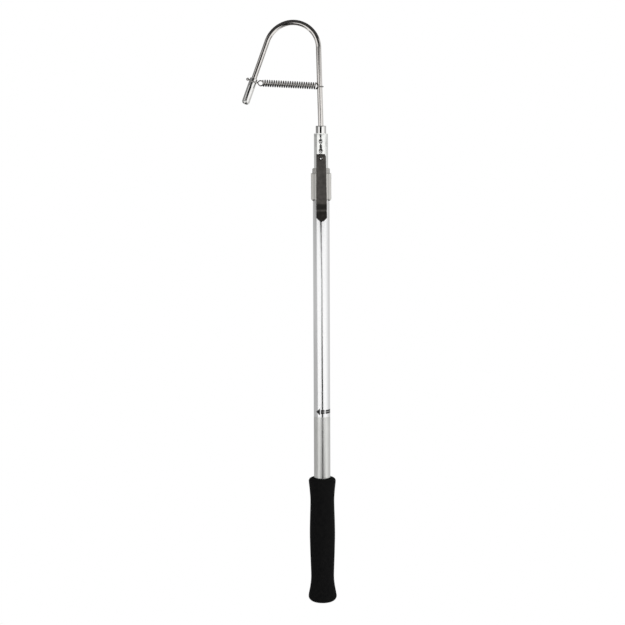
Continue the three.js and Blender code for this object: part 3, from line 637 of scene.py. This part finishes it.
join(steel, between(steel, lines, 0.07, 0.12), shader, "Roughness")
join(steel, dented(steel, haze, 0.01 * mm, 0.5), shader, "Normal")
bent_hook = finished("bent_hook", bar, steel)
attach(bent_hook, "shaft")
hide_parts("hook")


# Point cap: a thimble drawn from thin stainless, closed and rounded at its lower end. It
# slides on the hook's point and carries the spring's tie just below its mouth.
cap_radius = 4.4 * mm
cap_end_corner = 3.4 * mm
cap_lip = 0.3 * mm
cap_chamfer = 0.1 * mm
leg_way = bar_way(throat_angle)
across_leg = bar_way(throat_angle + 90)
front = Vector((0, -1, 0))


def placed(across, up, way, at):
    """The matrix that puts a shape drawn along Z at a place, along a direction."""
    matrix = Matrix((across, up, way)).transposed().to_4x4()
    matrix.translation = at
    return matrix


shape = turned([
    (0, cap_length),
    *rounded(cap_radius - cap_end_corner, cap_length - cap_end_corner, cap_end_corner, 90, 0, 12),
    (cap_radius, cap_length / 2),
    *rounded(cap_radius - cap_lip, cap_lip, cap_lip, 0, -90, 4),
    (bar_bore + cap_chamfer, 0), (bar_bore, 2 * cap_chamfer), (bar_bore, cap_length - cap_floor),
    (0, cap_length - cap_floor),
], 96)
bmesh.ops.transform(shape, matrix=placed(across_leg, front, leg_way, cap_mouth), verts=shape.verts[:])
bright_steel, shader = finish_of("polished stainless thimble", Metallic=1.0)
haze = grain(bright_steel, (1, 1, 1), 420, 3)
silver = tint(bright_steel, haze, (0.86, 0.85, 0.83), (0.93, 0.92, 0.9))
join(bright_steel, silver, shader, "Base Color")
join(bright_steel, between(bright_steel, haze, 0.05, 0.08), shader, "Roughness")
join(bright_steel, dented(bright_steel, haze, 0.002 * mm, 0.4), shader, "Normal")
drawn_cap = finished("drawn_cap", shape, bright_steel)
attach(drawn_cap, "cap")
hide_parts("point_cap")


# Spring: one stainless wire, tied round the cap's neck, crossed, drawn into an eye, coiled,
# and hooked round the shank from behind. It pulls the cap up over the point and stretches.
wire_radius = 0.7 * mm
coil_radius = 3.45 * mm
coil_turns = 23
neck_seat = 3.2 * mm
tie_half = 0.3 * mm
strand_apart = 1 * mm
eye_apart = 0.7 * mm
eye_radius = 2.85 * mm
eye_middle = 3.45 * mm
eye_drop = 0.5 * mm
eye_reach = 5.9 * mm
curl_radius = 1.1 * mm
curl_half = 0.9 * mm
ease_passes = 4
shank_seat = 44.6 * mm
shank_gap = 0.25 * mm
last_turn_out = 1.8 * mm
last_turn_back = 0.6 * mm
neck = cap_mouth + leg_way * neck_seat
neck_radius = cap_radius + fit_gap + wire_radius
crossing = neck + across_leg * (neck_radius + 5 * hair)
shank_way = bar_way(lean_angle)
shank = shank_foot + shank_way * (shank_seat - (shank_foot.z - ferrule_high.z))
coil_way = (shank - crossing).normalized()
coil_up = front.cross(coil_way).normalized()
shank_ring = bar_radius + fit_gap + wire_radius
coil_to = (shank - crossing).length - bar_radius - wire_radius - shank_gap


def by_crossing(along, up, out):
    """A point by the crossing's place: along the coil, up across it, and out to the front."""
    return crossing + coil_way * along + coil_up * up + front * out


def on_eye(degrees, out):
    """A point of the eye, which sags a little towards the coil."""
    turn = math.radians(degrees)
    up = eye_radius * math.sin(turn) - eye_drop * (1 + math.cos(turn)) / 2
    return by_crossing(eye_middle + eye_radius * math.cos(turn), up, out)


def on_neck(degrees, down):
    """A point of the wire round the cap's neck."""
    turn = math.radians(degrees)
    out = across_leg * math.cos(turn) + front * math.sin(turn)
    return neck + out * neck_radius + leg_way * down


def on_coil(along, degrees):
    """A point of the coil, whose turns start at its top."""
    turn = math.radians(degrees)
    return by_crossing(along, coil_radius * math.cos(turn), coil_radius * math.sin(turn))


# The wire starts behind the eye, ties the neck with a small curl, and comes back in front.
route = [on_eye(degrees, -eye_apart) for degrees in range(10, -151, -5)]
route.append(by_crossing(0, -tie_half, -strand_apart))
route += [on_neck(degrees, -tie_half) for degrees in range(-25, -171, -5)]
curl = neck - across_leg * (neck_radius + curl_radius)
for degrees in range(20, 351, 10):
    turn = math.radians(degrees)
    out = across_leg * math.cos(turn) - leg_way * math.sin(turn)
    route.append(curl + out * curl_radius + front * curl_half * (degrees / 180 - 1))
route += [on_neck(degrees, tie_half) for degrees in range(170, 24, -5)]
route.append(by_crossing(0, tie_half, strand_apart))
route += [on_eye(degrees, eye_apart) for degrees in range(150, 44, -5)]
for _ in range(ease_passes):
    route[1:-1] = [(a + b * 2 + c) / 4 for a, b, c in zip(route, route[1:], route[2:])]
# The coil, whose last turn bulges past the shank in front, and the turn round the shank.
coil_steps = coil_turns * 24
for i in range(coil_steps + 1):
    along = eye_reach + (coil_to - last_turn_back - eye_reach) * i / coil_steps
    route.append(on_coil(along, 30 + (360 * coil_turns - 30) * i / coil_steps))
for degrees in range(15, 226, 15):
    back = last_turn_back * max(0, 1 - degrees / 180)
    bulge = last_turn_out * math.sin(math.radians(degrees)) ** 2
    route.append(on_coil(coil_to - back + bulge, degrees))
shank_side = shank_way.cross(front).normalized()
for degrees in range(-135, 76, 5):
    turn = math.radians(degrees)
    out = shank_side * math.cos(turn) + front * math.sin(turn)
    drop = wire_radius + 2 * wire_radius * held((-85 - degrees) / 50) ** 2
    route.append(shank + out * shank_ring - shank_way * drop)
route.append(route[-1] + (route[-1] - route[-2]).normalized() * wire_radius)

wire = bpy.data.curves.new("wire", "CURVE")
wire.dimensions = "3D"
wire.bevel_depth = wire_radius
wire.bevel_resolution = 3
wire.use_fill_caps = True
line = wire.splines.new("POLY")
line.points.add(len(route) - 1)
for point, at in zip(line.points, route):
    point.co = (*at, 1)
drawn_wire = bpy.data.objects.new("drawn_wire", wire)
bpy.context.scene.collection.objects.link(drawn_wire)


def as_made(made):
    """The shape that an object's bevel or modifiers give it; the object itself goes."""
    result = made.evaluated_get(bpy.context.evaluated_depsgraph_get())
    mesh = bpy.data.meshes.new_from_object(result)
    bpy.data.objects.remove(made)
    shape = bmesh.new()
    shape.from_mesh(mesh)
    bpy.data.meshes.remove(mesh)
    return shape


shape = as_made(drawn_wire)
bmesh.ops.remove_doubles(shape, verts=shape.verts[:], dist=1e-7)
bmesh.ops.recalc_face_normals(shape, faces=shape.faces[:])
# Painted shade: the wire's colour is darkened on the coil's underside, and the darkening is held back
# to a lighter level at the tie and the eye. This is kept on the wire, so that it stays in place when
# the spring stretches.
shade_line = -1.4 * mm
shade_fade = 1.5 * mm
underside_darkest = 0.06
tie_eye_level = 0.8
tie_eye_reach = eye_reach - 0.5 * mm
wire_shade_of = shape.verts.layers.float.new("wire_painted_shade")
for corner in shape.verts:
    spot = corner.co - crossing
    underside_shade = underside_darkest + (1 - underside_darkest) * held((spot.dot(coil_up) - shade_line) / shade_fade)
    tie_eye_limit = tie_eye_level * held((tie_eye_reach - spot.dot(coil_way)) / mm)
    corner[wire_shade_of] = max(underside_shade, tie_eye_limit)
wire_steel, shader = finish_of("spring wire", Metallic=1.0)
haze = grain(wire_steel, (1, 1, 1), 700, 3)
wire_painted_shade = add(wire_steel, "Attribute", attribute_name="wire_painted_shade").outputs["Fac"]
bare = tint(wire_steel, haze, (0.66, 0.635, 0.605), (0.92, 0.89, 0.855))
# Painted shade scales the wire's own colour here.
bare = add(wire_steel, "VectorMath", [(0, bare), ("Scale", wire_painted_shade)], operation="SCALE")
join(wire_steel, bare.outputs[0], shader, "Base Color")
join(wire_steel, between(wire_steel, haze, 0.12, 0.2), shader, "Roughness")
coil_spring = finished("coil_spring", shape, wire_steel)
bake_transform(coil_spring)
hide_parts("hook_spring")


# Belt clip: one strip of blackened spring steel, folded over at its top and riveted to the
# inner tube. It has an access hole, a bend and ridge towards the collar, and a flared tip.
clip_thickness = 1.2 * mm
clip_edge = 0.22 * mm
clip_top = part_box("clip_base")[1].z
leg_out = inner_radius + fit_gap + clip_thickness / 2
leaf_out = -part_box("clip_base")[0].y - clip_thickness / 2
fold_radius = (leaf_out - leg_out) / 2
fold_z = clip_top - fold_radius - clip_thickness / 2
leg_foot = fold_z - 9.5 * mm
clip_top_half = 5.4 * mm
clip_half = 6.05 * mm
clip_askew = 0.4 * mm
corner_height = 3.2 * mm
corner_cut = 0.26
clip_bend = clip_top - 56.4 * mm
clip_ridge = clip_bend - 7.7 * mm
ridge_out = collar_radius + 0.5 * mm + clip_thickness / 2
tip_z = clip_ridge - 11.6 * mm
tip_out = ridge_out + 3.9 * mm
bend_reach = 1.8 * mm
ridge_waist = 0.3 * mm
gable_height = 3.9 * mm
gable_share = 0.36
rivet_x = -0.6 * mm
rivet_z = clip_top - 4.7 * mm
hole_radius = 2.1 * mm
hole_at = Vector((rivet_x + 0.4 * mm, -leaf_out, rivet_z - 0.5 * mm))


def eased(before, corner, after, reach, steps=8):
    """Points of a bend between two straights, which starts and ends a reach from its corner."""
    first = corner + (before - corner).normalized() * reach
    last = corner + (after - corner).normalized() * reach
    shares = [i / steps for i in range(steps + 1)]
    return [first * (1 - t) ** 2 + corner * 2 * t * (1 - t) + last * t ** 2 for t in shares]


bend_at = Vector((leaf_out, clip_bend))
ridge_at = Vector((ridge_out, clip_ridge))
tip_at = Vector((tip_out, tip_z))
leaf_top = Vector((leaf_out, fold_z))
clip_line = [Vector((leg_out, leg_foot)), Vector((leg_out, leg_foot + 4.5 * mm))]
clip_line += [Vector(at) for at in rounded(leg_out + fold_radius, fold_z, fold_radius, 180, 0, 30)]
clip_line += [leaf_top.lerp(bend_at, i / 40) for i in range(1, 39)]
clip_line += eased(leaf_top, bend_at, ridge_at, bend_reach)
clip_line += eased(bend_at, ridge_at, tip_at, bend_reach)
clip_line += [ridge_at.lerp(tip_at, 0.2 + 0.8 * i / 24) for i in range(1, 25)]


def clip_half_at(height, folded):
    """Half of the strip's width at a height, with the leaf's waist and its gabled tip."""
    share = held((clip_top - height) / (clip_top - clip_bend))
    half = clip_top_half + (clip_half - clip_top_half) * share
    half -= ridge_waist * held(1 - abs(height - clip_ridge) / mm)
    if not folded:
        gable = gable_share + (1 - gable_share) * (height - tip_z) / gable_height
        half = min(half, clip_half * gable)
    return half


strip = bmesh.new()
rail = [strip.verts.new((-1, -at.x, at.y)) for at in clip_line]
rail_edges = [strip.edges.new(pair) for pair in zip(rail, rail[1:])]
columns = 10
for _ in range(columns):
    rail_edges = drawn_on(strip, rail_edges, (2 / columns, 0, 0))
for corner in strip.verts:
    corner.co.x *= clip_half_at(corner.co.z, -corner.co.y < leg_out + mm)
    corner.co.x += clip_askew * held((clip_top - corner.co.z) / (clip_top - tip_z))
    if corner.co.x > 0:
        corner.co.x *= 1 - corner_cut * held((corner.co.z - clip_top) / corner_height + 1)
bmesh.ops.recalc_face_normals(strip, faces=strip.faces[:])
black_steel, shader = finish_of("blackened spring steel", Metallic=0.55, Specular_IOR_Level=0.45)
patina = grain(black_steel, (1, 1, 1), 240, 5)
rolled = grain(black_steel, (1, 1, 0.05), 1500, 2)
# Painted shade and highlight: the colour is darker on the tip and on the face below the bend, and
# lighter along the ridge. Each level is a share of the full colour, at a share of the way from the tip
# to just above the bend.
levels = [(0, 0.45), (0.47, 0.45), (0.53, 0.9), (0.59, 0.9), (0.62, 0.3), (0.87, 0.36), (0.93, 1)]
up = between(black_steel, on_piece(black_steel, "Z"), 0, 1, tip_z, clip_bend + 2.3 * mm)
painted_shade_ramp = add(black_steel, "ValToRGB", [("Fac", up)])
ramp = painted_shade_ramp.color_ramp.elements
for at, level in levels[2:]:
    ramp.new(at)
for stop, (at, level) in zip(ramp, levels):
    stop.position = at
    stop.color = (level, level, level, 1)
shade = tint(black_steel, patina, (0.05, 0.046, 0.042), (0.092, 0.085, 0.078))
# The painted shade and highlight multiply the steel's own colour here.
shade = add(black_steel, "VectorMath", [(0, shade), (1, painted_shade_ramp.outputs["Color"])], operation="MULTIPLY")
join(black_steel, shade.outputs[0], shader, "Base Color")
join(black_steel, between(black_steel, patina, 0.34, 0.46), shader, "Roughness")
join(black_steel, dented(black_steel, rolled, 0.008 * mm, 0.4), shader, "Normal")
flat_clip = finished("flat_clip", strip, black_steel)
drill = bmesh.new()
bmesh.ops.create_cone(
    drill, cap_ends=True, segments=48, radius1=hole_radius, radius2=hole_radius, depth=6 * mm,
    matrix=Matrix.Translation(hole_at) @ Matrix.Rotation(math.pi / 2, 4, "X"),
)
drill = finished("drill", drill, black_steel)
plate = flat_clip.modifiers.new("plate", "SOLIDIFY")
plate.thickness = clip_thickness
plate.offset = 0
plate.use_even_offset = True
hole = flat_clip.modifiers.new("hole", "BOOLEAN")
hole.object = drill
hole.operation = "DIFFERENCE"
hole.solver = "EXACT"
edge = flat_clip.modifiers.new("edge", "BEVEL")
edge.width = clip_edge
edge.segments = 3
edge.limit_method = "ANGLE"
edge.angle_limit = math.radians(50)
shape = as_made(flat_clip)
bpy.data.objects.remove(drill)
belt_clip = finished("belt_clip", shape, black_steel, 50)
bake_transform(belt_clip)
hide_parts("clip_base", "clip_leaf")


# Clip rivet: a steel rivet with a low domed head, set a little askew on the clip's leg, and a
# flat tail inside the tube. The access hole in front of its head lets the setting tool in.
head_seat = inner_radius + fit_gap + clip_thickness + fit_gap
rivet_tail = -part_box("clip_rivet")[1].y
tail_radius = 2.2 * mm
tail_height = 0.9 * mm
stem_radius = 1.4 * mm
head_radius = 2.05 * mm
head_corner = 0.2 * mm
head_rim = 0.68 * mm
head_height = 0.8 * mm
head_dome = 12 * mm
dome_centre = head_seat + head_height - head_dome
head_tilt = math.radians(-4)
tilt_middle = head_seat + 0.7 * mm
tilted_from = head_seat + 0.3 * mm
shape = turned([
    (0, rivet_tail), (tail_radius, rivet_tail), (tail_radius, rivet_tail + tail_height),
    (stem_radius, rivet_tail + tail_height), (stem_radius, head_seat), (head_radius, head_seat),
    *rounded(head_radius - head_corner, head_seat + head_rim, head_corner, 0, 90, 4),
    *rounded(0, dome_centre, head_dome, 81.5, 90, 5),
], 64)
bmesh.ops.rotate(
    shape, cent=(0, 0, tilt_middle), matrix=Matrix.Rotation(head_tilt, 3, "Y"),
    verts=[v for v in shape.verts if v.co.z > tilted_from],
)
bmesh.ops.transform(
    shape, verts=shape.verts[:],
    matrix=placed(Vector((1, 0, 0)), Vector((0, 0, 1)), front, Vector((rivet_x, 0, rivet_z))),
)
rivet_steel, shader = finish_of("bright rivet", Metallic=1.0)
haze = grain(rivet_steel, (1, 1, 1), 900, 3)
silver = tint(rivet_steel, haze, (0.88, 0.88, 0.87), (0.95, 0.95, 0.94))
join(rivet_steel, silver, shader, "Base Color")
join(rivet_steel, between(rivet_steel, haze, 0.06, 0.1), shader, "Roughness")
clip_fixing = finished("clip_fixing", shape, rivet_steel)
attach(clip_fixing, "shaft")
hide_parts("clip_rivet")


# Studio: a pale floor well below the gaff, which is held and not stood, a white surround,
# two large soft lamps, and black and grey flags that only polished metal picks up.
scene = bpy.context.scene
scene.view_settings.view_transform = "Standard"
floor_z = -0.35
floor_radius = 30
light_top = 0.74
flag_foot = floor_z + 0.01
flag_ring = 1.2
flag_top = 1.3


def stage_mesh(name, shape, finish, seen):
    """A floor or a flag; a flag shows only in reflections."""
    mesh = bpy.data.meshes.new(name)
    shape.to_mesh(mesh)
    shape.free()
    mesh.materials.append(finish)
    made = bpy.data.objects.new(name, mesh)
    scene.collection.objects.link(made)
    made.visible_camera = made.visible_diffuse = made.visible_shadow = seen
    made.visible_transmission = made.visible_volume_scatter = seen
    return made


def seen_rays(finish):
    """1 for a ray from the camera or off polished metal, else 0."""
    path = add(finish, "LightPath")
    rays = [(0, path.outputs["Is Camera Ray"]), (1, path.outputs["Is Glossy Ray"])]
    return add(finish, "Math", rays, operation="MAXIMUM").outputs[0]


# The floor is lit like any other thing near the gaff, and goes over into plain white far out.
pale, shader = finish_of("pale floor", Roughness=0.8, Specular_IOR_Level=0.1,
                         Base_Color=(0.93, 0.93, 0.93, 1))
far = add(pale, "VectorMath", [(0, on_piece(pale))], operation="LENGTH").outputs["Value"]
far = between(pale, far, 0, 1, 0.4, 0.9)
share = add(pale, "Math", [(0, far), (1, seen_rays(pale))], operation="MULTIPLY").outputs[0]
glow = add(pale, "Emission", [("Color", (1, 1, 1, 1))]).outputs[0]
mixed = add(pale, "MixShader", [(0, share), (1, shader.outputs[0]), (2, glow)]).outputs[0]
join(pale, mixed, pale.node_tree.nodes["Material Output"], "Surface")
shape = bmesh.new()
bmesh.ops.create_circle(shape, cap_ends=True, radius=floor_radius, segments=64)
floor = stage_mesh("floor", shape, pale, True)
floor.location.z = floor_z


def flag(name, level, shape):
    """A flag of one grey that the lamps don't change."""
    finish, shader = finish_of(name)
    finish.node_tree.nodes.remove(shader)
    glow = add(finish, "Emission", [("Color", (level, level, level, 1))])
    join(finish, glow.outputs[0], finish.node_tree.nodes["Material Output"], "Surface")
    return stage_mesh(name, shape, finish, False)


def swept(foot, turn):
    """A sheet swept from one edge round the shaft, by an angle in degrees."""
    shape = bmesh.new()
    ends = [shape.verts.new(at) for at in foot]
    bmesh.ops.spin(
        shape, geom=[*ends, shape.edges.new(ends)], cent=(0, 0, 0), axis=(0, 0, 1),
        dvec=(0, 0, 0), angle=math.radians(turn), steps=24, use_merge=False,
    )
    return shape


def bent_flag(name, level, radius, low, high, first, last):
    """A curtain round the gaff between two angles, 0 in front and 90 on the right."""
    at = math.radians(first)
    foot = [(radius * math.sin(at), -radius * math.cos(at), z) for z in (low, high)]
    flag(name, level, swept(foot, last - first))


def slanted_flag(name, level, radius, rows):
    """A flag on a curtain's curve, from pairs of angles at rising heights."""
    shape = bmesh.new()
    bmesh.ops.create_grid(shape, x_segments=12, y_segments=len(rows) - 1, size=1)
    for corner in shape.verts:
        (first, last), height = rows[round((corner.co.y + 1) / 2 * (len(rows) - 1))]
        at = math.radians(first + (last - first) * (corner.co.x + 1) / 2)
        corner.co = Vector((radius * math.sin(at), -radius * math.cos(at), height))
    flag(name, level, shape)


# The black strip in front gives the round metal its dark middle line.
strip_rows = [
    ((-36, 50), flag_foot), ((-36, 50), -0.08), ((-4, 17), -0.06), ((-4, 17), 0.08),
    ((-4, 11), 0.26), ((2, 11.5), 0.4), ((-5, 5), 0.5), ((-13, 7), 0.52), ((-13, 7), 0.533),
    ((-4, -1), 0.536), ((-4, -1), 0.546), ((-17, 5), 0.549), ((-17, 5), 0.56),
    ((-21, 10), 0.58), ((-21, 9), 0.61), ((-22, 5), 0.63), ((-26, 1), 0.65), ((-28, 2), light_top),
]
slanted_flag("black strip", 0.0, 0.9, strip_rows)
left_rows = [((-180, -56), flag_foot), ((-180, -60), 0.08), ((-180, -62), 0.2)]
slanted_flag("low left flag", 0.43, flag_ring, left_rows)
slanted_flag("left flag", 0.5, flag_ring, [((-180, -62), 0.2), ((-180, -66), 0.42)])
slanted_flag("high left flag", 0.44, flag_ring, [((-180, -66), 0.42), ((-180, -68), 0.56)])
bent_flag("dusk left flag", 0.33, flag_ring, 0.56, 0.63, -180, -68)
bent_flag("dark left flag", 0.26, flag_ring, 0.63, light_top, -180, -70)
bent_flag("dusk front flag", 0.38, flag_ring + 0.01, 0.665, light_top, -74, 180)
for level, first, last in ((0.93, 60, 76), (0.8, 76, 92), (0.7, 92, 106), (0.61, 106, 180)):
    bent_flag("right flag", level, flag_ring, flag_foot, light_top, first, last)
bent_flag("glint flag", 1.0, flag_ring - 0.01, 0.86, 1.06, -66, -54)
bent_flag("upper left flag", 0.24, flag_ring, light_top, flag_top, -180, -42)
bent_flag("upper right flag", 0.58, flag_ring, light_top, 1.15, 66, 180)
bent_flag("upper front flag", 0.04, flag_ring, light_top, flag_top, -42, 66)
bent_flag("upper back flag", 0.04, flag_ring, 1.15, flag_top, 66, 180)
shape = bmesh.new()
bmesh.ops.create_circle(shape, cap_ends=True, radius=flag_ring + 0.01, segments=64)
canopy = flag("dark canopy", 0.05, shape)
canopy.location.z = flag_top
shape = swept([(0, -reach, flag_foot) for reach in (0.02, 0.9)], 180)
bmesh.ops.rotate(shape, cent=(0, 0, 0), matrix=Matrix.Rotation(math.radians(-120), 3, "Z"),
                 verts=shape.verts[:])
flag("floor flag", 0.04, shape)
for side in (-1, 1):
    shape = bmesh.new()
    bmesh.ops.create_grid(shape, x_segments=1, y_segments=1, size=0.1,
                          matrix=Matrix.Translation((side * 0.25, 0, 0.53)))
    flag("side card", 0.15, shape)
shape = bmesh.new()
bmesh.ops.create_circle(shape, cap_ends=True, radius=0.6, segments=48,
                        matrix=Matrix.Translation((0, 0.5, floor_z + 0.005)))
flag("back floor flag", 0.12, shape)

# Metal shows a white surround, and a softer grey one lights the gaff.
world = bpy.data.worlds.new("studio")
scene.world = world
world.use_nodes = True
world.node_tree.nodes.clear()
clear = add(world, "LightPath").outputs["Is Transmission Ray"]
seen = add(world, "Math", [(0, seen_rays(world)), (1, clear)], operation="MAXIMUM").outputs[0]
soft = add(world, "Background", [("Color", (0.4, 0.4, 0.4, 1))]).outputs[0]
white = add(world, "Background", [("Color", (1, 1, 1, 1))]).outputs[0]
mixed = add(world, "MixShader", [(0, seen), (1, soft), (2, white)]).outputs[0]
add(world, "OutputWorld", [("Surface", mixed)])
lamp_aim = Vector((0, 0, 0.33))
lamp_size = 1.2


def lamp(name, place, power):
    """A large square lamp that faces the middle of the gaff."""
    light = bpy.data.lights.new(name, "AREA")
    light.size = lamp_size
    light.energy = power
    made = bpy.data.objects.new(name, light)
    scene.collection.objects.link(made)
    made.location = place
    made.rotation_euler = (lamp_aim - made.location).to_track_quat("-Z", "Y").to_euler()
    made.visible_glossy = False


lamp("left lamp", (-1.6, -1.5, 1.3), 25)
lamp("right lamp", (1.6, -1.5, 1.3), 40)

# The camera stands where the photograph's did, and looks down at the middle of the gaff.
eye = Vector((-0.0105, -1.7, 0.55))
gaff_middle = 0.3421
roll = math.radians(0.258)
focal_pixels = 1486.03
frame_pixels = 625
camera = bpy.data.objects.new("camera", bpy.data.cameras.new("camera"))
scene.collection.objects.link(camera)
scene.camera = camera
camera.data.sensor_width = 36
camera.data.lens = focal_pixels / frame_pixels * camera.data.sensor_width
camera.data.clip_end = 100
camera.location = eye
tilt = math.atan2(eye.z - gaff_middle, -eye.y)
camera.rotation_euler = (Matrix.Rotation(math.pi / 2 - tilt, 3, "X")
                         @ Matrix.Rotation(-roll, 3, "Z")).to_euler()
